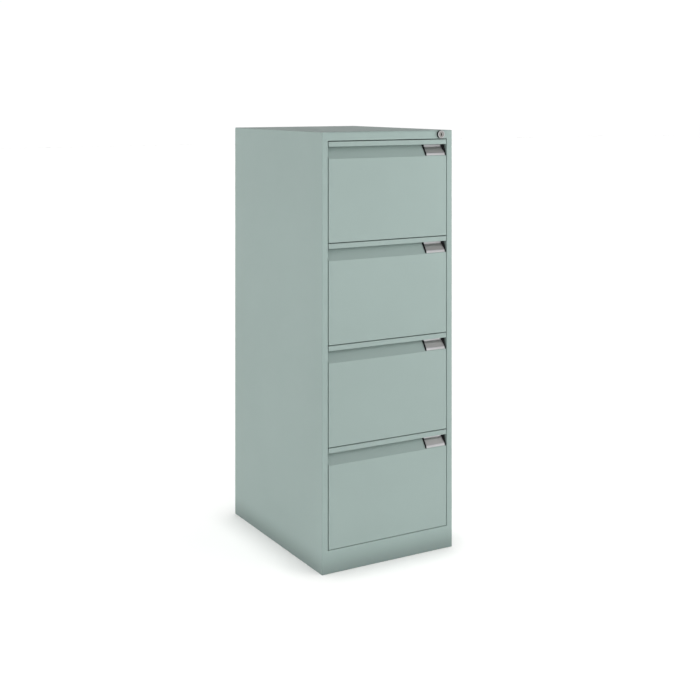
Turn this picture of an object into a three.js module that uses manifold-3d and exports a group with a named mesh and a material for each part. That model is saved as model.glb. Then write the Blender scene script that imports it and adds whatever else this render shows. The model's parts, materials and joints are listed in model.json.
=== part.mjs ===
// Four-drawer steel filing cabinet with flush drawer fronts, telescopic rails and a central lock.
// Millimetres, +Z up, and the front faces -Y. The origin is on the floor at the centre of the
// bounding box, which takes in the lock that stands proud of the front.
// Within a drawer, y runs back from the front face and z runs up from the front's bottom edge.
import * as THREE from "three";
import { mergeVertices } from "three/addons/utils/BufferGeometryUtils.js";
import Module from "manifold-3d";

const wasm = await Module();
wasm.setup();

// Whole cabinet
const WIDTH = 470;
const DEPTH = 622;
const HEIGHT = 1321;
const LOCK_PROUD = 8;
const FRONT = -(DEPTH + LOCK_PROUD) / 2; // y of the lock's face
const FACE = FRONT + LOCK_PROUD; // y of the drawer fronts and the front frame
const BACK = FACE + DEPTH;
const HALF = WIDTH / 2;

// Sheet metal
const SHEET = 1;
const DRAWER_SHEET = 0.8;
const GAP = 0.3; // between pieces that are welded or screwed together
const BEND = 0.8; // centre-line radius of a tight fold
const CORNER_BEND = 2.5; // centre-line radius of the cabinet's upright outer corners
const BEND_STEPS = 4;

// Front frame: two stiles, a lock rail above and a plinth rail below
const STILE = 20;
const STILE_RETURN = 17;
const PLINTH = 69.5;
const TOP_RAIL = 26.5;
const CAP = 3; // height of the top panel's skirt
const CAP_EDGE = 2; // radius of the top panel's rounded edge
const RAIL_RETURN = 15;
const LOCK_RAIL_TOP = 13; // depth of the lock rail's upper flange
const REAR_FLANGE = 17;
const FOOT_FLANGE = 20;
const OPENING = HALF - STILE;
const OPENING_TOP = HEIGHT - TOP_RAIL;
const BASE_TOP = 45;
const BASE_SKIRT = 13;

// Drawers, numbered from the top
const DRAWERS = 4;
const MARGIN = 2.6; // gap above and beside each drawer front
const FOOT_MARGIN = 1.6; // gap under the lowest drawer front
const FRONT_HEIGHT = (OPENING_TOP - PLINTH - FOOT_MARGIN) / DRAWERS - MARGIN;
const FRONT_HALF = OPENING - MARGIN;
const LIP = 15; // height of the finger lip
const LIP_HEM = 7;
const HEM_GAP = 2.3;
const RECESS = 52; // height of lip and finger recess together
const RECESS_ANGLE = THREE.MathUtils.degToRad(35); // of the recess's back, from the vertical
const FRONT_DEPTH = 30; // from the face to the back of the finger recess
const FLANGE = 28;
const INNER_SKIN = FRONT_DEPTH + GAP + DRAWER_SHEET / 2; // y of the inner skin's middle
const INNER_HALF = FRONT_HALF - DRAWER_SHEET - GAP;

// Drawer tray
const TRAY_HALF = 199;
const TRAY_BOTTOM = 8;
const TRAY_TOP = 248;
const TRAY_FRONT = INNER_SKIN + DRAWER_SHEET / 2 + GAP;
const TRAY_BACK = 577;
const FILE_RAIL = 8; // width of the folded rail that suspension files hang on
const BACK_WALL_TOP = 235;
const FRONT_WALL_TOP = 60;

// Telescopic rails. x values are for the right side of the cabinet.
const RAIL_SHEET = 1.2;
const RAIL_Z = 100; // middle of the rails above the drawer front's bottom edge
const RAIL_FRONT = 33;
const OUTER_RAIL = { web: 214.1, tip: 203.5, half: 22.4, lip: 2.9, length: 550 };
const MIDDLE_RAIL = { web: 211.5, tip: 202.3, half: 18, lip: 2.8, length: 520 };
const INNER_RAIL = { web: 200.1, tip: 208.6, half: 14, lip: 2.5, length: 540 };

// Uprights that carry the outer rails
const UPRIGHT_DEPTH = 40;
const UPRIGHT_WEB = OPENING + SHEET / 2;
const FRONT_UPRIGHT = FACE + 39;
const REAR_UPRIGHT = FACE + 547;
const SLOT = { width: 4, height: 12, spread: 22 };

// Label holder on the recess's sloping back
const CARRIER = { left: 134.5, right: 211, top: 44, low: 0.3, high: 3.2 };
const BEZEL = { left: 138, right: 208, sheet: 1, middle: 4, slopeTop: 33, top: 288.5, bend: 9 };
const WINDOW = { left: 141, border: 2.5, bottom: 10.8, top: 31.5 };
const WEDGE = { foot: 208, head: 200, rise: 12 };

// Lock and lock bar
const LOCK_X = 189;
const LOCK_Z = 1308;
const ROUND_STEPS = 40;
const HOUSING = { head: 12.6, headBore: 9.3, neck: 8.6, neckBore: 5.8, back: 23 };
const COLLAR = { outer: 12.3, inner: 9.3, thickness: 0.8, chamfer: 0.4 };
const PLUG = { head: 8.8, shoulder: -2, stem: 5.5, front: -7.6, back: 27 };
const KEYHOLE = { width: 4.2, height: 8.4, depth: 14 };
const CAM = { radius: 9, thickness: 2, throw: 6, pin: 2, pinEnd: 36 };
const BAR = { left: 218, right: 232, front: 32, back: 34, bottom: 285 };
const ARM = { left: 176, half: 5.7, slot: 2.45, play: 0.6 };
const HOOK = { tip: 204, bottom: 226, top: 234.5 };
const CATCH = { tip: 211, front: 36, back: 38, bottom: 236 };
const LOOP = { heights: [420, 1235], height: 14, depth: 10 };

const MATERIALS = {
  carcase: new THREE.MeshStandardMaterial({ color: 0x9fb0aa, roughness: 0.55, metalness: 0 }),
  drawer: new THREE.MeshStandardMaterial({ color: 0xa2b3ad, roughness: 0.55, metalness: 0 }),
  zinc: new THREE.MeshStandardMaterial({ color: 0xb4b7b9, roughness: 0.35, metalness: 1 }),
  chrome: new THREE.MeshStandardMaterial({ color: 0xc9cbcc, roughness: 0.2, metalness: 1 }),
  nickel: new THREE.MeshStandardMaterial({ color: 0xb5b2ae, roughness: 0.3, metalness: 1 }),
  black: new THREE.MeshStandardMaterial({ color: 0x17181a, roughness: 0.5, metalness: 0 }),
};

// ---- Geometry helpers ----

function box(x0, x1, y0, y1, z0, z1) {
  const geometry = new THREE.BoxGeometry(x1 - x0, y1 - y0, z1 - z0);
  return geometry.translate((x0 + x1) / 2, (y0 + y1) / 2, (z0 + z1) / 2);
}

// The outline of a folded sheet. Each point of the path is [across, up, bend radius], along the
// middle of the sheet, and a point with no radius of its own takes the tight one.
function foldedOutline(path, thickness) {
  const points = path.map(([across, up]) => new THREE.Vector2(across, up));
  const sideways = (from, to) => {
    const along = to.clone().sub(from).normalize();
    return new THREE.Vector2(-along.y, along.x);
  };
  const spine = [];
  points.forEach((corner, i) => {
    if (i === 0 || i === points.length - 1) {
      const end = i === 0 ? sideways(corner, points[1]) : sideways(points[i - 1], corner);
      spine.push({ point: corner, normal: end });
      return;
    }
    const before = sideways(points[i - 1], corner);
    const after = sideways(corner, points[i + 1]);
    const turn = Math.atan2(before.cross(after), before.dot(after));
    const radius = (path[i][2] ?? BEND) * Math.sign(turn);
    const along = corner.clone().sub(points[i - 1]).normalize();
    const start = corner.clone().addScaledVector(along, -radius * Math.tan(turn / 2));
    const centre = start.clone().addScaledVector(before, radius);
    for (let step = 0; step <= BEND_STEPS; step++) {
      const normal = before.clone().rotateAround(new THREE.Vector2(), (turn * step) / BEND_STEPS);
      spine.push({ point: centre.clone().addScaledVector(normal, -radius), normal });
    }
  });
  const offset = (by) => spine.map((s) => s.point.clone().addScaledVector(s.normal, by));
  return [...offset(thickness / 2), ...offset(-thickness / 2).reverse()];
}

function extruded(outline, length) {
  return new THREE.ExtrudeGeometry(new THREE.Shape(outline), {
    depth: length,
    bevelEnabled: false,
  });
}

// An outline of [y, z] points extruded from x0 to x1.
function alongX(outline, x0, x1) {
  const turned = new THREE.Matrix4().makeBasis(
    new THREE.Vector3(0, 1, 0),
    new THREE.Vector3(0, 0, 1),
    new THREE.Vector3(1, 0, 0),
  );
  return extruded(outline, x1 - x0).applyMatrix4(turned).translate(x0, 0, 0);
}

// An outline of [x, z] points extruded from y0 to y1.
function alongY(outline, y0, y1) {
  const turned = new THREE.Matrix4().makeBasis(
    new THREE.Vector3(1, 0, 0),
    new THREE.Vector3(0, 0, 1),
    new THREE.Vector3(0, -1, 0),
  );
  return extruded(outline, y1 - y0).applyMatrix4(turned).translate(0, y1, 0);
}

// An outline of [x, y] points extruded from z0 to z1.
function alongZ(outline, z0, z1) {
  return extruded(outline, z1 - z0).translate(0, 0, z0);
}

function solidOf(geometry) {
  const bare = geometry.clone();
  bare.deleteAttribute("normal");
  bare.deleteAttribute("uv");
  const merged = mergeVertices(bare, 1e-4);
  return new wasm.Manifold(
    new wasm.Mesh({
      numProp: 3,
      vertProperties: merged.attributes.position.array,
      triVerts: new Uint32Array(merged.index.array),
    }),
  );
}

function geometryOf(solid) {
  const { vertProperties, triVerts } = solid.getMesh();
  return new THREE.BufferGeometry()
    .setAttribute("position", new THREE.BufferAttribute(vertProperties, 3))
    .setIndex(new THREE.BufferAttribute(triVerts, 1));
}

function join(...geometries) {
  return geometryOf(geometries.map(solidOf).reduce((whole, next) => whole.add(next)));
}

function cut(geometry, ...tools) {
  return geometryOf(tools.map(solidOf).reduce((rest, tool) => rest.subtract(tool), solidOf(geometry)));
}

function common(geometry, other) {
  return geometryOf(solidOf(geometry).intersect(solidOf(other)));
}

function disc(radius, y0, y1, x = 0, z = 0) {
  const geometry = new THREE.CylinderGeometry(radius, radius, y1 - y0, ROUND_STEPS);
  return geometry.translate(x, (y0 + y1) / 2, z);
}

function mesh(name, geometry, material) {
  const made = new THREE.Mesh(geometry, material);
  made.name = name;
  return made;
}

const mirrored = (path, side) => path.map(([across, ...rest]) => [across * side, ...rest]);

// ---- Carcase ----

// A side panel wraps round to the front stile and to a narrow flange at the rear. Between the
// rails the stile turns back once more, so that the drawer opening has a folded edge.
function sidePanel(name, side) {
  const skin = HALF - SHEET / 2;
  const wrap = [
    [skin, FACE + SHEET / 2, CORNER_BEND],
    [skin, BACK - SHEET / 2, CORNER_BEND],
    [HALF - REAR_FLANGE, BACK - SHEET / 2],
  ];
  const stileEnd = [OPENING, FACE + SHEET / 2];
  const stileFold = [
    [OPENING + SHEET / 2, FACE + STILE_RETURN],
    [OPENING + SHEET / 2, FACE + SHEET / 2],
  ];
  const plain = foldedOutline(mirrored([stileEnd, ...wrap], side), SHEET);
  const folded = foldedOutline(mirrored([...stileFold, ...wrap], side), SHEET);
  const inner = skin - SHEET / 2 - FOOT_FLANGE;
  const foot = [inner * side, skin * side].sort((a, b) => a - b);
  return mesh(
    name,
    join(
      alongZ(plain, 0, PLINTH),
      alongZ(folded, PLINTH, OPENING_TOP),
      alongZ(plain, OPENING_TOP, HEIGHT - CAP),
      box(...foot, FACE + STILE_RETURN + SHEET, BACK - SHEET - GAP, 0, SHEET),
    ),
    MATERIALS.carcase,
  );
}

// The top panel is a shallow pressed cap with rounded edges, welded on to the walls.
function topPanel() {
  const radius = CORNER_BEND + SHEET / 2;
  const outline = new THREE.Shape();
  outline.moveTo(-HALF + radius, FACE);
  outline.lineTo(HALF - radius, FACE);
  outline.absarc(HALF - radius, FACE + radius, radius, -Math.PI / 2, 0);
  outline.lineTo(HALF, BACK - radius);
  outline.absarc(HALF - radius, BACK - radius, radius, 0, Math.PI / 2);
  outline.lineTo(-HALF + radius, BACK);
  outline.absarc(-HALF + radius, BACK - radius, radius, Math.PI / 2, Math.PI);
  outline.lineTo(-HALF, FACE + radius);
  outline.absarc(-HALF + radius, FACE + radius, radius, Math.PI, Math.PI * 1.5);
  const rounded = new THREE.ExtrudeGeometry(outline, {
    depth: 2 * CAP,
    bevelThickness: CAP_EDGE,
    bevelSize: CAP_EDGE,
    bevelOffset: -CAP_EDGE,
    bevelSegments: BEND_STEPS,
    curveSegments: BEND_STEPS,
  }).translate(0, 0, HEIGHT - 2 * CAP - CAP_EDGE);
  const below = box(-HALF - 1, HALF + 1, FACE - 1, BACK + 1, HEIGHT - 4 * CAP, HEIGHT - CAP);
  const inside = box(
    -HALF + SHEET, HALF - SHEET, FACE + SHEET, BACK - SHEET, HEIGHT - 4 * CAP, HEIGHT - SHEET,
  );
  return mesh("top_panel", cut(rounded, below, inside), MATERIALS.carcase);
}

function backPanel() {
  const half = HALF - SHEET - BEND - CORNER_BEND / 2;
  const back = BACK - SHEET - GAP;
  const foot = SHEET + GAP;
  const head = HEIGHT - SHEET - GAP;
  return mesh("back_panel", box(-half, half, back - SHEET, back, foot, head), MATERIALS.carcase);
}

function basePanel() {
  const edge = HALF - SHEET - GAP - SHEET / 2;
  const path = [
    [-edge, BASE_TOP - BASE_SKIRT],
    [-edge, BASE_TOP - SHEET / 2],
    [edge, BASE_TOP - SHEET / 2],
    [edge, BASE_TOP - BASE_SKIRT],
  ];
  const back = BACK - 2 * SHEET - 2 * GAP;
  const outline = foldedOutline(path, SHEET);
  return mesh("base_panel", alongY(outline, FACE + STILE_RETURN, back), MATERIALS.carcase);
}

// The lock rail closes the frame above the drawers and carries the lock near its right end.
function lockRail() {
  const face = FACE + SHEET / 2;
  const path = [
    [FACE + RAIL_RETURN, OPENING_TOP + SHEET / 2],
    [face, OPENING_TOP + SHEET / 2],
    [face, HEIGHT - CAP - SHEET / 2],
    [FACE + LOCK_RAIL_TOP, HEIGHT - CAP - SHEET / 2],
  ];
  const rail = alongX(foldedOutline(path, SHEET), -OPENING, OPENING);
  const hole = disc(HOUSING.neck + GAP, FACE - 1, FACE + 2 * SHEET, LOCK_X, LOCK_Z);
  return mesh("lock_rail", cut(rail, hole), MATERIALS.carcase);
}

function plinthRail() {
  const face = FACE + SHEET / 2;
  const path = [
    [FACE + RAIL_RETURN, PLINTH - SHEET / 2],
    [face, PLINTH - SHEET / 2],
    [face, SHEET / 2],
    [FACE + RAIL_RETURN, SHEET / 2],
  ];
  const outline = foldedOutline(path, SHEET);
  return mesh("plinth_rail", alongX(outline, -OPENING, OPENING), MATERIALS.carcase);
}

const drawerFoot = (number) =>
  PLINTH + FOOT_MARGIN + (DRAWERS - number) * (FRONT_HEIGHT + MARGIN);

// An upright is a channel that opens towards the side panel, with a pair of slots at each rail.
function upright(name, side, front, loops) {
  const edge = HALF - SHEET - GAP;
  const path = [
    [edge, front + SHEET / 2],
    [UPRIGHT_WEB, front + SHEET / 2],
    [UPRIGHT_WEB, front + UPRIGHT_DEPTH - SHEET / 2],
    [edge, front + UPRIGHT_DEPTH - SHEET / 2],
  ];
  const bottom = BASE_TOP + GAP;
  const top = HEIGHT - CAP - SHEET;
  const channel = alongZ(foldedOutline(mirrored(path, side), SHEET), bottom, top);
  const web = [side * (OPENING - 1), side * (OPENING + 2 * SHEET)].sort((a, b) => a - b);
  const middle = front + UPRIGHT_DEPTH / 2;
  const slots = [];
  for (let number = 1; number <= DRAWERS; number++) {
    const height = drawerFoot(number) + RAIL_Z;
    for (const shift of [-SLOT.spread / 2, SLOT.spread / 2]) {
      slots.push(
        box(
          ...web,
          middle - SLOT.width / 2, middle + SLOT.width / 2,
          height + shift - SLOT.height / 2, height + shift + SLOT.height / 2,
        ),
      );
    }
  }
  const slotted = cut(channel, ...slots);
  return mesh(name, loops ? join(slotted, ...barLoops(front)) : slotted, MATERIALS.zinc);
}

// Loops pressed out of the right front upright guide the lock bar.
function barLoops(front) {
  const inner = BAR.left - SHEET - BEND / 2;
  const outer = BAR.right + SHEET;
  return LOOP.heights.flatMap((z) => [
    box(inner, inner + SHEET, front - LOOP.depth, front + SHEET / 2, z, z + LOOP.height),
    box(outer - SHEET / 2, outer + SHEET / 2, front - LOOP.depth, front + SHEET / 2, z, z + LOOP.height),
    box(inner, outer + SHEET / 2, front - LOOP.depth, front - LOOP.depth + SHEET, z, z + LOOP.height),
  ]);
}

// ---- Telescopic rails ----

function rail(name, side, shape, start, height) {
  const path = [
    [shape.tip, height + shape.half - shape.lip],
    [shape.tip, height + shape.half],
    [shape.web, height + shape.half],
    [shape.web, height - shape.half],
    [shape.tip, height - shape.half],
    [shape.tip, height - shape.half + shape.lip],
  ];
  const outline = foldedOutline(mirrored(path, side), RAIL_SHEET);
  return mesh(name, alongY(outline, start, start + shape.length), MATERIALS.zinc);
}

// ---- Drawer ----

// How far the recess's back has gone in at a height z of the drawer front.
const recessStart = FRONT_HEIGHT - RECESS;
const onRecess = (along, out) =>
  new THREE.Vector2(
    along * Math.sin(RECESS_ANGLE) - out * Math.cos(RECESS_ANGLE),
    recessStart + along * Math.cos(RECESS_ANGLE) + out * Math.sin(RECESS_ANGLE),
  );

// The outer skin is one folded sheet: bottom flange, face, sloping recess, top flange and lip.
function frontSkin(name) {
  const half = DRAWER_SHEET / 2;
  const slopeHeight = (depth) => {
    const start = onRecess(0, -half);
    return start.y + (depth - start.x) / Math.tan(RECESS_ANGLE);
  };
  const back = FRONT_DEPTH - half;
  const path = [
    [FLANGE, half],
    [half, half],
    [half, slopeHeight(half)],
    [back, slopeHeight(back)],
    [back, FRONT_HEIGHT - half],
    [half, FRONT_HEIGHT - half],
    [half, FRONT_HEIGHT - LIP + half],
    [half + HEM_GAP, FRONT_HEIGHT - LIP + half],
    [half + HEM_GAP, FRONT_HEIGHT - LIP + LIP_HEM],
  ];
  const skin = alongX(foldedOutline(path, DRAWER_SHEET), -FRONT_HALF, FRONT_HALF);
  const end = [
    new THREE.Vector2(half, half),
    new THREE.Vector2(FLANGE, half),
    new THREE.Vector2(FLANGE, slopeHeight(FLANGE)),
    new THREE.Vector2(half, slopeHeight(half)),
  ];
  const ends = [-FRONT_HALF, FRONT_HALF - DRAWER_SHEET].map((x) => alongX(end, x, x + DRAWER_SHEET));
  return mesh(name, join(skin, ...ends), MATERIALS.drawer);
}

function innerSkin(name) {
  const foot = DRAWER_SHEET + GAP + DRAWER_SHEET / 2;
  const path = [
    [FRONT_DEPTH / 2, foot],
    [INNER_SKIN, foot],
    [INNER_SKIN, FRONT_HEIGHT - DRAWER_SHEET - GAP],
  ];
  return mesh(name, alongX(foldedOutline(path, DRAWER_SHEET), -INNER_HALF, INNER_HALF), MATERIALS.drawer);
}

// The tray's sides end in folded rails for suspension files, and a catch for the lock bar
// stands out near the front of its right side.
function tray(name) {
  const wall = TRAY_HALF - DRAWER_SHEET / 2;
  const hook = wall - FILE_RAIL;
  const rim = TRAY_TOP - DRAWER_SHEET / 2;
  const floor = TRAY_BOTTOM + DRAWER_SHEET / 2;
  const path = [
    [-hook, rim - FILE_RAIL], [-hook, rim], [-wall, rim], [-wall, floor],
    [wall, floor], [wall, rim], [hook, rim], [hook, rim - FILE_RAIL],
  ];
  const half = DRAWER_SHEET / 2;
  return mesh(
    name,
    join(
      alongY(foldedOutline(path, DRAWER_SHEET), TRAY_FRONT, TRAY_BACK),
      box(-wall, wall, TRAY_BACK - DRAWER_SHEET, TRAY_BACK, floor, BACK_WALL_TOP),
      box(-wall, wall, TRAY_FRONT, TRAY_FRONT + DRAWER_SHEET, floor, FRONT_WALL_TOP),
      box(wall, CATCH.tip, CATCH.front, CATCH.back, CATCH.bottom, TRAY_TOP - half),
    ),
    MATERIALS.drawer,
  );
}

// Where a line parallel to the recess's back, at a height out above it, is at a depth behind
// the face.
const atDepth = (out, depth) =>
  onRecess((depth + out * Math.cos(RECESS_ANGLE)) / Math.sin(RECESS_ANGLE), out);

// Everything to the right of a slanting line up the recess, which leans in towards the top.
function besideWedge(shift) {
  const outline = [
    new THREE.Vector2(WEDGE.foot + shift, recessStart),
    new THREE.Vector2(FRONT_HALF, recessStart),
    new THREE.Vector2(FRONT_HALF, FRONT_HEIGHT),
    new THREE.Vector2(WEDGE.head + shift, FRONT_HEIGHT),
  ];
  return alongY(outline, -SHEET, FRONT_DEPTH);
}

// The carrier lies on the recess's back, has a notch for the bezel's foot, and rises at its
// right end to a wedge that is wide and deep at the top.
function labelCarrier(name) {
  const { left, right, top, low, high } = CARRIER;
  const plate = [atDepth(low, GAP), onRecess(top, low), onRecess(top, high), atDepth(high, GAP)];
  const notch = box(
    BEZEL.left - GAP, BEZEL.right + GAP, -SHEET, 2 * BEZEL.sheet + GAP, recessStart, FRONT_HEIGHT,
  );
  const raised = [atDepth(low, GAP), onRecess(top, low), onRecess(top, WEDGE.rise), atDepth(high, GAP)];
  const wedge = common(alongX(raised, WEDGE.head, right), besideWedge(0));
  return mesh(name, join(cut(alongX(plate, left, right), notch), cut(wedge, notch)), MATERIALS.black);
}

// The bezel frames a label. Its foot is flush with the drawer's face, its upper rim stands away
// from the recess's back, so that the label drops in behind it, and its right edge follows the
// wedge.
function labelBezel(name) {
  const front = GAP + BEZEL.sheet / 2;
  const foot = atDepth(CARRIER.low, GAP + BEZEL.sheet);
  const corner = atDepth(BEZEL.middle, front);
  const rim = onRecess(BEZEL.slopeTop, BEZEL.middle);
  const path = [
    [front, foot.y],
    [corner.x, corner.y, BEZEL.bend],
    [rim.x, rim.y, 2 * BEZEL.sheet],
    [rim.x + BEZEL.sheet, BEZEL.top],
  ];
  const sheet = alongX(foldedOutline(path, BEZEL.sheet), BEZEL.left, BEZEL.right);
  const opening = [
    onRecess(WINDOW.bottom, 0), onRecess(WINDOW.top, 0),
    onRecess(WINDOW.top, 2 * BEZEL.middle), onRecess(WINDOW.bottom, 2 * BEZEL.middle),
  ];
  const window = cut(
    alongX(opening, WINDOW.left, BEZEL.right),
    besideWedge(-GAP - WINDOW.border),
  );
  return mesh(name, cut(sheet, besideWedge(-GAP), window), MATERIALS.chrome);
}

function drawer(number) {
  const name = `drawer_${number}`;
  const group = new THREE.Group();
  group.position.set(0, FACE, drawerFoot(number));
  group.add(
    frontSkin(`${name}_front`),
    innerSkin(`${name}_inner_front`),
    tray(`${name}_tray`),
    labelCarrier(`${name}_label_carrier`),
    labelBezel(`${name}_label_bezel`),
  );
  for (const [word, side] of [["left", -1], ["right", 1]]) {
    group.add(
      rail(`${name}_${word}_outer_rail`, side, OUTER_RAIL, RAIL_FRONT, RAIL_Z),
      rail(`${name}_${word}_middle_rail`, side, MIDDLE_RAIL, RAIL_FRONT, RAIL_Z),
      rail(`${name}_${word}_inner_rail`, side, INNER_RAIL, RAIL_FRONT, RAIL_Z),
    );
  }
  return group;
}

// ---- Lock ----

// The pin at rest is low and to the left of the lock's axis. A quarter turn clockwise lifts it.
const PIN = CAM.throw * Math.SQRT1_2;

function turned(name, profile, material) {
  const points = profile.map(([radius, y]) => new THREE.Vector2(radius, y));
  return mesh(name, new THREE.LatheGeometry([...points, points[0]], ROUND_STEPS), material);
}

function lockHousing() {
  const front = -LOCK_PROUD + COLLAR.thickness + GAP;
  const step = PLUG.shoulder + GAP;
  const profile = [
    [HOUSING.neckBore, step], [HOUSING.headBore, step], [HOUSING.headBore, front],
    [HOUSING.head, front], [HOUSING.head, 0], [HOUSING.neck, 0],
    [HOUSING.neck, HOUSING.back], [HOUSING.neckBore, HOUSING.back],
  ];
  return turned("lock_housing", profile, MATERIALS.black);
}

function lockCollar() {
  const back = -LOCK_PROUD + COLLAR.thickness;
  const profile = [
    [COLLAR.inner, back], [COLLAR.inner, -LOCK_PROUD],
    [COLLAR.outer - COLLAR.chamfer, -LOCK_PROUD],
    [COLLAR.outer, -LOCK_PROUD + COLLAR.chamfer], [COLLAR.outer, back],
  ];
  return turned("lock_collar", profile, MATERIALS.chrome);
}

function lockPlug() {
  const half = KEYHOLE.width / 2;
  const keyhole = box(
    -half, half, PLUG.front - 1, PLUG.front + KEYHOLE.depth, -KEYHOLE.height / 2, KEYHOLE.height / 2,
  );
  const head = disc(PLUG.head, PLUG.front, PLUG.shoulder);
  const stem = disc(PLUG.stem, PLUG.shoulder - 1, PLUG.back);
  return mesh("lock_plug", cut(join(head, stem), keyhole), MATERIALS.nickel);
}

function lockCam() {
  const plate = disc(CAM.radius, PLUG.back, PLUG.back + CAM.thickness);
  const pin = disc(CAM.pin, PLUG.back + CAM.thickness / 2, CAM.pinEnd, -PIN, -PIN);
  return mesh("lock_cam", join(plate, pin), MATERIALS.zinc);
}

function lock() {
  const group = new THREE.Group();
  group.position.set(LOCK_X, FACE, LOCK_Z);
  group.add(lockHousing(), lockCollar(), lockPlug(), lockCam());
  return group;
}

// The lock bar hangs on the cam's pin by the slot in its arm, and has a hook for each drawer.
function lockBar() {
  const front = FACE + BAR.front;
  const back = FACE + BAR.back;
  const pinX = LOCK_X - PIN;
  const pinZ = LOCK_Z - PIN;
  const hooks = [];
  for (let number = 1; number <= DRAWERS; number++) {
    const foot = drawerFoot(number);
    hooks.push(box(HOOK.tip, BAR.left + 1, front, back, foot + HOOK.bottom, foot + HOOK.top));
  }
  const bar = join(
    box(BAR.left, BAR.right, front, back, BAR.bottom, pinZ + ARM.half),
    box(ARM.left, BAR.right, front, back, pinZ - ARM.half, pinZ + ARM.half),
    ...hooks,
  );
  const slot = box(
    LOCK_X - CAM.throw - CAM.pin - ARM.play, pinX + CAM.pin + ARM.play,
    front - 1, back + 1, pinZ - ARM.slot, pinZ + ARM.slot,
  );
  return mesh("lock_bar", cut(bar, slot), MATERIALS.zinc);
}

// ---- Assembly ----

const cabinet = new THREE.Group();
cabinet.add(
  sidePanel("left_side_panel", -1),
  sidePanel("right_side_panel", 1),
  topPanel(),
  backPanel(),
  basePanel(),
  lockRail(),
  plinthRail(),
  upright("left_front_upright", -1, FRONT_UPRIGHT, false),
  upright("left_rear_upright", -1, REAR_UPRIGHT, false),
  upright("right_front_upright", 1, FRONT_UPRIGHT, true),
  upright("right_rear_upright", 1, REAR_UPRIGHT, false),
  lock(),
  lockBar(),
);
for (let number = 1; number <= DRAWERS; number++) {
  cabinet.add(drawer(number));
}

export default cabinet;
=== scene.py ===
"""The looks of a steel filing cabinet: powder coat, plated metal and its drawers' small pieces."""

import json
import math

import bmesh
import bpy
from mathutils import Matrix, Vector


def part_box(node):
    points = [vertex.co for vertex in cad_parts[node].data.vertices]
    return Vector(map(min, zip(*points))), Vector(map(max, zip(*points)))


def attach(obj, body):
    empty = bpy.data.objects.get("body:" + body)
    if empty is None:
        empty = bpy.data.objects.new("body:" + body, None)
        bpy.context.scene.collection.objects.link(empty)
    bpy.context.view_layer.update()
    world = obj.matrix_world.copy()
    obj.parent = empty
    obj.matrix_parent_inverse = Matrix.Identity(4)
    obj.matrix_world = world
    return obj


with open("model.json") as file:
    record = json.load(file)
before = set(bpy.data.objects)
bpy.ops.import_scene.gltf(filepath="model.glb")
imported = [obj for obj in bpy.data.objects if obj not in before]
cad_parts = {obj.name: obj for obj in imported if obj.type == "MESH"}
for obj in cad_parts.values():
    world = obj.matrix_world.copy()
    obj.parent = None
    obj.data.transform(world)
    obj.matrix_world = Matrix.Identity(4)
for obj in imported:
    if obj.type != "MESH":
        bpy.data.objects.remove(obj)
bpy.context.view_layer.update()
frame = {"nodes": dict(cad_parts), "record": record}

MM = 0.001
DRAWERS = (1, 2, 3, 4)
SIDES = {"left": -1, "right": 1}

# ---- Colours, as linear red, green and blue ----

CARCASE_PAINT = (0.335, 0.425, 0.402)
DRAWER_PAINT = (0.337, 0.424, 0.401)
ZINC = (0.56, 0.57, 0.58)
CHROME = (0.55, 0.55, 0.56)
NICKEL = (0.36, 0.355, 0.34)
BLACK = (0.008, 0.008, 0.009)
CARD = (0.54, 0.54, 0.53)
FLOOR = (0.90, 0.90, 0.89)
# Painted shade near the floor: the paint's colour is darkened to the share below at the floor, and fades
# back to full colour by the height below.
FOOT_SHADE = 0.72  # of the paint's colour, at the floor
FOOT_SHADE_HEIGHT = 0.07  # where the paint has its full colour again

# ---- Materials ----

# Most of a noise texture's values lie between these two.
NOISE_LOW = 0.3
NOISE_HIGH = 0.7

# Places of the Mix node's colour sockets
MIX_INPUTS = (0, 6, 7)
MIX_RESULT = 2


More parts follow.
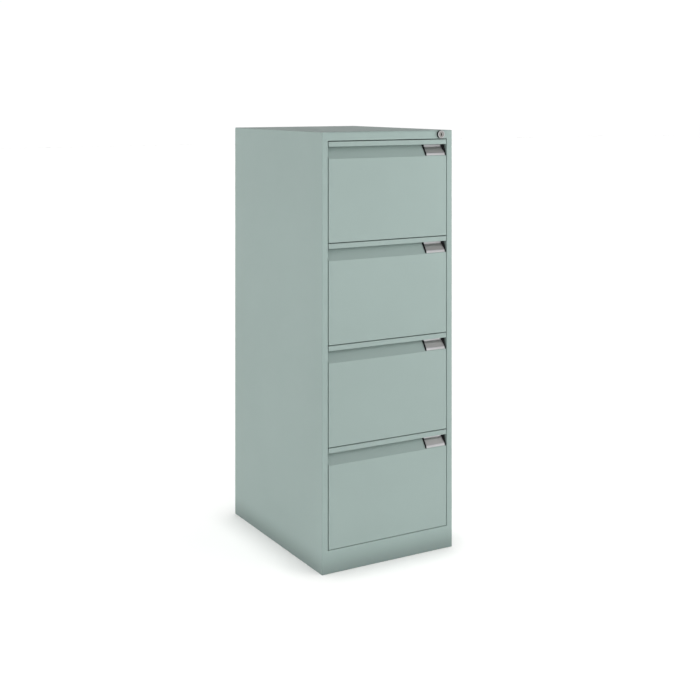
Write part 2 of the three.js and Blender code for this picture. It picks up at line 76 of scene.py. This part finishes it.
class Shader:
    """A material with a principled shader, and short ways to add nodes to it."""

    def __init__(self, name):
        self.material = bpy.data.materials.new(name)
        self.material.use_nodes = True
        self.tree = self.material.node_tree
        self.principled = self.tree.nodes["Principled BSDF"]
        self.place = self.add("ShaderNodeTexCoord").outputs["Object"]

    def add(self, kind, **inputs):
        node = self.tree.nodes.new(kind)
        for socket, value in inputs.items():
            self.set(node, socket.replace("_", " "), value)
        return node

    def set(self, node, socket, value):
        if isinstance(value, bpy.types.NodeSocket):
            self.tree.links.new(value, node.inputs[socket])
        else:
            node.inputs[socket].default_value = value

    def surface(self, **inputs):
        for socket, value in inputs.items():
            self.set(self.principled, socket.replace("_", " "), value)

    def noise(self, scale, detail=2.0, stretch=(1, 1, 1)):
        mapping = self.add("ShaderNodeMapping", Vector=self.place, Scale=stretch)
        texture = self.add(
            "ShaderNodeTexNoise", Vector=mapping.outputs["Vector"], Scale=scale, Detail=detail
        )
        return texture.outputs["Fac"]

    def between(self, factor, low, high):
        node = self.add("ShaderNodeMapRange", Value=factor)
        node.inputs["From Min"].default_value = NOISE_LOW
        node.inputs["From Max"].default_value = NOISE_HIGH
        node.inputs["To Min"].default_value = low
        node.inputs["To Max"].default_value = high
        return node.outputs["Result"]

    def blend(self, factor, first, second):
        """Goes from the first colour to the second. Each is a node's output or three numbers."""
        node = self.tree.nodes.new("ShaderNodeMix")
        node.data_type = "RGBA"
        for socket, value in zip(MIX_INPUTS, (factor, first, second)):
            self.set(node, socket, (*value, 1) if isinstance(value, tuple) else value)
        return node.outputs[MIX_RESULT]

    def painted_shade_at_foot(self, colour, shaded_colour):
        """The colour above, darkened by painted shade close to the floor."""
        height = self.add("ShaderNodeSeparateXYZ", Vector=self.place).outputs["Z"]
        rise = self.add("ShaderNodeMapRange", Value=height)
        rise.interpolation_type = "SMOOTHSTEP"
        rise.inputs["From Max"].default_value = FOOT_SHADE_HEIGHT
        return self.blend(rise.outputs["Result"], shaded_colour, colour)

    def bump(self, height, distance, strength=1.0, under=None):
        node = self.add("ShaderNodeBump", Height=height, Distance=distance, Strength=strength)
        if under is not None:
            self.tree.links.new(under, node.inputs["Normal"])
        return node.outputs["Normal"]


def shade(colour, factor):
    return tuple(channel * factor for channel in colour)


def powder_coat(name, colour):
    """Satin powder coat: a fine orange peel, faint cloudiness and slightly uneven gloss, with painted
    shade near the floor.
    """
    shader = Shader(name)
    cloud = shader.between(shader.noise(2.2, 3), 0, 1)
    clouded = shader.blend(cloud, shade(colour, 0.975), shade(colour, 1.025))
    peel = shader.noise(620, 2)
    wave = shader.noise(34, 2)
    normal = shader.bump(wave, 0.00012, 0.5)
    shader.surface(
        # painted shade: the paint's colour darkens towards the floor
        Base_Color=shader.painted_shade_at_foot(clouded, shade(colour, FOOT_SHADE)),
        Roughness=shader.between(shader.noise(9, 4), 0.48, 0.58),
        Specular_IOR_Level=0.3,
        Normal=shader.bump(peel, 0.00006, 0.6, normal),
    )
    return shader.material


def brushed_metal(name, colour, roughness, stretch):
    """Plated metal with fine lines from rolling or brushing."""
    shader = Shader(name)
    lines = shader.noise(900, 2, stretch)
    stain = shader.between(shader.noise(14, 3), 0, 1)
    shader.surface(
        Base_Color=shader.blend(stain, shade(colour, 0.92), shade(colour, 1.05)),
        Metallic=1.0,
        Roughness=shader.between(lines, roughness * 0.8, roughness * 1.25),
        Normal=shader.bump(lines, 0.00002, 0.5),
    )
    return shader.material


def moulded_plastic(name, colour):
    shader = Shader(name)
    grain = shader.noise(1500, 2)
    shader.surface(
        Base_Color=shader.blend(shader.noise(60, 2), shade(colour, 0.8), shade(colour, 1.3)),
        Roughness=shader.between(shader.noise(40, 3), 0.45, 0.58),
        Specular_IOR_Level=0.15,
        Normal=shader.bump(grain, 0.00003, 0.5),
    )
    return shader.material


def filmed_card(name, colour):
    """A blank silvered card behind a thin clear film."""
    shader = Shader(name)
    fibre = shader.noise(1100, 4)
    shader.surface(
        Base_Color=shader.blend(fibre, shade(colour, 0.95), shade(colour, 1.05)),
        Metallic=0.85,
        Roughness=shader.between(shader.noise(80, 3), 0.28, 0.36),
        Coat_Weight=0.2,
        Coat_Roughness=0.12,
    )
    return shader.material


def floor_paint(name, colour):
    shader = Shader(name)
    shader.surface(
        Base_Color=shader.blend(shader.noise(1.5, 3), shade(colour, 0.99), colour),
        Roughness=shader.between(shader.noise(6, 3), 0.75, 0.85),
    )
    return shader.material


LOOKS = {
    "carcase_paint": powder_coat("carcase_paint", CARCASE_PAINT),
    "drawer_paint": powder_coat("drawer_paint", DRAWER_PAINT),
    "zinc_plate": brushed_metal("zinc_plate", ZINC, roughness=0.36, stretch=(1, 0.02, 1)),
    "chrome_trim": brushed_metal("chrome_trim", CHROME, roughness=0.36, stretch=(0.03, 1, 1)),
    "lock_nickel": brushed_metal("lock_nickel", NICKEL, roughness=0.30, stretch=(1, 1, 0.05)),
    "black_plastic": moulded_plastic("black_plastic", BLACK),
    "card": filmed_card("card", CARD),
    "cage_steel": brushed_metal("cage_steel", ZINC, roughness=0.42, stretch=(1, 0.05, 1)),
    "ball_steel": brushed_metal("ball_steel", CHROME, roughness=0.16, stretch=(1, 1, 1)),
}

# ---- The CAD nodes: their finish, and edges softened as bent and painted sheet has ----

EDGE_RADIUS = {
    "carcase_paint": 0.32 * MM,
    "drawer_paint": 0.32 * MM,
    "zinc_plate": 0.15 * MM,
    "chrome_trim": 0.25 * MM,
    "lock_nickel": 0.20 * MM,
    "black_plastic": 0.25 * MM,
}
EDGE_SEGMENTS = 2
WELD_DISTANCE = 0.002 * MM
FLAT_ANGLE = math.radians(0.5)  # faces that turn less than this are one flat face
SHARP_ANGLE = math.radians(35)  # edges that turn more than this are rounded


def soften(piece, radius):
    """Merges the facets' corners, rounds the sharp edges and shades the piece smoothly."""
    for polygon in piece.data.polygons:
        polygon.use_smooth = True
    weld = piece.modifiers.new("merge", "WELD")
    weld.merge_threshold = WELD_DISTANCE
    flat = piece.modifiers.new("flat_faces", "DECIMATE")
    flat.decimate_type = "DISSOLVE"
    flat.angle_limit = FLAT_ANGLE
    bevel = piece.modifiers.new("edges", "BEVEL")
    bevel.width = radius
    bevel.segments = EDGE_SEGMENTS
    bevel.limit_method = "ANGLE"
    bevel.angle_limit = SHARP_ANGLE
    bevel.use_clamp_overlap = True
    piece.modifiers.new("normals", "WEIGHTED_NORMAL").keep_sharp = False


def finish_cad_nodes():
    slots = {row["node"]: row["material_slot"] for row in frame["record"]["subparts"]}
    for name, piece in frame["nodes"].items():
        slot = slots[name]
        piece.data.materials.clear()
        piece.data.materials.append(LOOKS[slot])
        if piece.data.attributes.get("custom_normal"):
            piece.data.attributes.remove(piece.data.attributes["custom_normal"])
        soften(piece, EDGE_RADIUS[slot])


# ---- New pieces ----


def piece_from(name, mesh_edit, look, body):
    mesh = bpy.data.meshes.new(name)
    mesh_edit.normal_update()
    mesh_edit.to_mesh(mesh)
    mesh_edit.free()
    mesh.materials.append(look)
    piece = bpy.data.objects.new(name, mesh)
    bpy.context.scene.collection.objects.link(piece)
    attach(piece, body)
    return piece


def add_box(mesh_edit, low, high, place=Matrix.Identity(4)):
    """A box between two corners, which are in the frame that place turns into the row's."""
    size = Vector(high) - Vector(low)
    middle = Matrix.Translation((Vector(low) + Vector(high)) / 2)
    bmesh.ops.create_cube(mesh_edit, size=1.0, matrix=place @ middle @ Matrix.Diagonal((*size, 1)))


def add_dome(mesh_edit, centre, outward, radius, height, steps=16, rings=4):
    """A shallow domed head, such as a rivet's, with its flat side down and closed."""
    upright = Vector(outward).to_track_quat("Z", "Y").to_matrix().to_4x4()
    place = Matrix.Translation(centre) @ upright
    rows = []
    for ring in range(rings):
        angle = math.pi / 2 * ring / rings
        flat = radius * math.cos(angle)
        rise = height * math.sin(angle)
        turns = (2 * math.pi * step / steps for step in range(steps))
        points = (Vector((flat * math.cos(turn), flat * math.sin(turn), rise)) for turn in turns)
        rows.append([mesh_edit.verts.new(place @ point) for point in points])
    tip = mesh_edit.verts.new(place @ Vector((0, 0, height)))
    mesh_edit.faces.new(list(reversed(rows[0])))
    for low, high in zip(rows, rows[1:]):
        for i in range(steps):
            j = (i + 1) % steps
            mesh_edit.faces.new((low[i], low[j], high[j], high[i]))
    for i in range(steps):
        mesh_edit.faces.new((rows[-1][i], rows[-1][(i + 1) % steps], tip))


# A label lies on its carrier, on the recess's sloping back, behind the bezel's window. Its
# right edge slants with the carrier's wedge.
RECESS_ANGLE = math.radians(35)
PLATE_THICKNESS = 2.9 * MM
WEDGE_RISE = 8.8 * MM  # of the wedge's top above the carrier's plate
CARD_THICKNESS = 0.2 * MM
CARD_CLEARANCE = 0.2 * CARD_THICKNESS  # above the plate
CARD_TOP = 7.0 * MM  # below the carrier's top edge, along the slope
CARD_HEIGHT = 27.0 * MM
CARD_LEFT = 1.2 * MM  # from the bezel's ends
CARD_RIGHT = 1.4 * MM
CARD_SLANT = 3.4 * MM


def add_label_card(number):
    carrier_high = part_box(f"drawer_{number}_label_carrier")[1]
    low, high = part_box(f"drawer_{number}_label_bezel")
    along = Vector((0, math.sin(RECESS_ANGLE), math.cos(RECESS_ANGLE)))
    out = Vector((0, -math.cos(RECESS_ANGLE), math.sin(RECESS_ANGLE)))
    plate_top = Vector((0, carrier_high.y + PLATE_THICKNESS * out.y, carrier_high.z - WEDGE_RISE * out.z))
    turn = Matrix((Vector((1, 0, 0)), along, out)).transposed().to_4x4()
    mesh_edit = bmesh.new()
    add_box(
        mesh_edit,
        (low.x + CARD_LEFT, -CARD_TOP - CARD_HEIGHT, CARD_CLEARANCE),
        (high.x - CARD_RIGHT, -CARD_TOP, CARD_CLEARANCE + CARD_THICKNESS),
    )
    for corner in mesh_edit.verts:
        if corner.co.x > (low.x + high.x) / 2 and corner.co.y > -CARD_TOP - CARD_HEIGHT / 2:
            corner.co.x -= CARD_SLANT
    mesh_edit.transform(Matrix.Translation(plate_top) @ turn)
    piece_from(f"drawer_{number}_label_card", mesh_edit, LOOKS["card"], f"drawer_{number}")


# Ball cages run between the rails. Each rides on the middle rail, along the half of it that
# stays inside its neighbour when the drawer is open.
RAIL_SHEET = 1.2 * MM
BALL_PITCH = 17 * MM
CAGE_SHEET = 0.5 * MM
CAGE_WIDTH = 4.6 * MM
CAGE_END = 6 * MM
BALL_PLAY = 0.04 * MM


def add_ball_row(cage_edit, ball_edit, x, z, radius, start, end):
    add_box(
        cage_edit,
        (x - CAGE_WIDTH / 2, start, z - CAGE_SHEET / 2),
        (x + CAGE_WIDTH / 2, end, z + CAGE_SHEET / 2),
    )
    count = int((end - start - 2 * CAGE_END) / BALL_PITCH)
    for i in range(count + 1):
        y = start + CAGE_END + i * BALL_PITCH
        place = Matrix.Translation((x, y, z))
        bmesh.ops.create_icosphere(ball_edit, subdivisions=2, radius=radius, matrix=place)


def add_ball_cages(number, side):
    name = f"drawer_{number}_{side}"
    outer, middle, inner = (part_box(f"{name}_{which}_rail") for which in ("outer", "middle", "inner"))
    half_way = (middle[0].y + middle[1].y) / 2
    cage_edit = bmesh.new()
    ball_edit = bmesh.new()
    for around, within, start, end in (
        (outer, middle, half_way, middle[1].y),
        (middle, inner, middle[0].y, half_way),
    ):
        x = (within[0].x + within[1].x) / 2
        for edge, towards in ((1, -1), (0, 1)):
            race = around[edge].z + towards * RAIL_SHEET
            gap = abs(race - within[edge].z)
            z = (race + within[edge].z) / 2
            add_ball_row(cage_edit, ball_edit, x, z, gap / 2 - BALL_PLAY, start + CAGE_END, end - CAGE_END)
    body = f"drawer_{number}_middle_rails"
    piece_from(f"{name}_ball_cages", cage_edit, LOOKS["cage_steel"], body)
    balls = piece_from(f"{name}_balls", ball_edit, LOOKS["ball_steel"], body)
    balls.data.shade_smooth()


# Rivets hold the inner rail to the tray.
RIVET_RADIUS = 3.2 * MM
RIVET_HEIGHT = 1.3 * MM
RIVETS = 5
RIVET_END = 40 * MM
RIVET_RIM = math.radians(40)  # the head's rim turns more than this, and stays sharp


def add_rail_rivets(number, side):
    low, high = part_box(f"drawer_{number}_{side}_inner_rail")
    outward = SIDES[side]
    web = (low.x if outward > 0 else high.x) + outward * RAIL_SHEET
    pitch = (high.y - low.y - 2 * RIVET_END) / (RIVETS - 1)
    mesh_edit = bmesh.new()
    for i in range(RIVETS):
        centre = (web, low.y + RIVET_END + i * pitch, (low.z + high.z) / 2)
        add_dome(mesh_edit, centre, (outward, 0, 0), RIVET_RADIUS, RIVET_HEIGHT)
    name = f"drawer_{number}_{side}_rivets"
    piece = piece_from(name, mesh_edit, LOOKS["ball_steel"], f"drawer_{number}")
    piece.data.set_sharp_from_angle(angle=RIVET_RIM)


# A black shutter closes the keyhole behind the plug's face.
SHUTTER_DEPTH = 1.6 * MM
SHUTTER_THICKNESS = 1 * MM
SHUTTER_SIZE = (4.1 * MM, 8.3 * MM)


def add_lock_shutter():
    low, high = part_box("lock_plug")
    middle_x = (low.x + high.x) / 2
    middle_z = (low.z + high.z) / 2
    width, height = SHUTTER_SIZE
    front = low.y + SHUTTER_DEPTH
    mesh_edit = bmesh.new()
    add_box(
        mesh_edit,
        (middle_x - width / 2, front, middle_z - height / 2),
        (middle_x + width / 2, front + SHUTTER_THICKNESS, middle_z + height / 2),
    )
    piece_from("lock_shutter", mesh_edit, LOOKS["black_plastic"], "lock_plug")


# ---- Camera, floor and light ----

CAMERA_PLACE = (-1.9660, -3.4739, 1.4273)
CAMERA_TURN = math.radians(-29.98)
LENS = 62.28
SENSOR_WIDTH = 36
SHIFT_Y = -0.3622
VIEW_DEPTH = 50
FLOOR_HALF = 30
HORIZON_LIGHT = 1.02
OVERHEAD_LIGHT = 0.06
DIMMING = (0.35, 0.95)  # heights on a sphere of radius 1 where the sky starts and stops dimming
KEY_PLACE = (0.9, -1.5, 1.34)
KEY_TARGET = (0.15, -0.3, 1.3)
KEY_SIZE = (1.0, 0.6)
KEY_POWER = 5.5
FLOOR_LIGHT = 2.15
FLOOR_LIGHT_SPREAD = math.radians(10)


def add_camera():
    data = bpy.data.cameras.new("camera")
    data.sensor_width = SENSOR_WIDTH
    data.lens = LENS
    data.shift_y = SHIFT_Y
    data.clip_end = VIEW_DEPTH
    camera = bpy.data.objects.new("camera", data)
    camera.location = CAMERA_PLACE
    camera.rotation_euler = (math.radians(90), 0, CAMERA_TURN)
    bpy.context.scene.collection.objects.link(camera)
    bpy.context.scene.camera = camera


def add_area_light(name, place, target, size, power):
    data = bpy.data.lights.new(name, "AREA")
    data.shape = "RECTANGLE"
    data.size, data.size_y = size
    data.energy = power
    light = bpy.data.objects.new(name, data)
    light.location = place
    light.rotation_euler = (Vector(target) - Vector(place)).to_track_quat("-Z", "Y").to_euler()
    bpy.context.scene.collection.objects.link(light)
    return light


def add_floor():
    mesh = bpy.data.meshes.new("floor")
    corners = [(x * FLOOR_HALF, y * FLOOR_HALF, 0) for x, y in ((-1, -1), (1, -1), (1, 1), (-1, 1))]
    mesh.from_pydata(corners, [], [(0, 1, 2, 3)])
    mesh.materials.append(floor_paint("floor_paint", FLOOR))
    floor = bpy.data.objects.new("floor", mesh)
    bpy.context.scene.collection.objects.link(floor)
    return floor


def add_sky():
    """A white studio that is bright round the horizon and dimmer overhead."""
    world = bpy.data.worlds.new("studio")
    bpy.context.scene.world = world
    world.use_nodes = True
    nodes = world.node_tree.nodes
    links = world.node_tree.links
    direction = nodes.new("ShaderNodeTexCoord").outputs["Generated"]
    split = nodes.new("ShaderNodeSeparateXYZ")
    links.new(direction, split.inputs["Vector"])
    strength = nodes.new("ShaderNodeMapRange")
    strength.interpolation_type = "SMOOTHSTEP"
    links.new(split.outputs["Z"], strength.inputs["Value"])
    strength.inputs["From Min"].default_value, strength.inputs["From Max"].default_value = DIMMING
    strength.inputs["To Min"].default_value = HORIZON_LIGHT
    strength.inputs["To Max"].default_value = OVERHEAD_LIGHT
    links.new(strength.outputs["Result"], nodes["Background"].inputs["Strength"])
    nodes["Background"].inputs["Color"].default_value = (1, 1, 1, 1)


def add_lights(floor):
    """A soft key light on the front, which reflections don't show, and a sun for the floor alone."""
    key = add_area_light("key", KEY_PLACE, KEY_TARGET, KEY_SIZE, KEY_POWER)
    key.visible_glossy = False
    sun = bpy.data.lights.new("floor_light", "SUN")
    sun.energy = FLOOR_LIGHT
    sun.angle = FLOOR_LIGHT_SPREAD
    above = bpy.data.objects.new("floor_light", sun)
    bpy.context.scene.collection.objects.link(above)
    lit = bpy.data.collections.new("lit_by_floor_light")
    lit.objects.link(floor)
    above.light_linking.receiver_collection = lit


def set_colours():
    view = bpy.context.scene.view_settings
    view.view_transform = "Standard"
    view.look = "None"
    view.exposure = 0
    view.gamma = 1


finish_cad_nodes()
for number in DRAWERS:
    add_label_card(number)
    for side in SIDES:
        add_ball_cages(number, side)
        add_rail_rivets(number, side)
add_lock_shutter()
add_camera()
add_sky()
add_lights(add_floor())
set_colours()
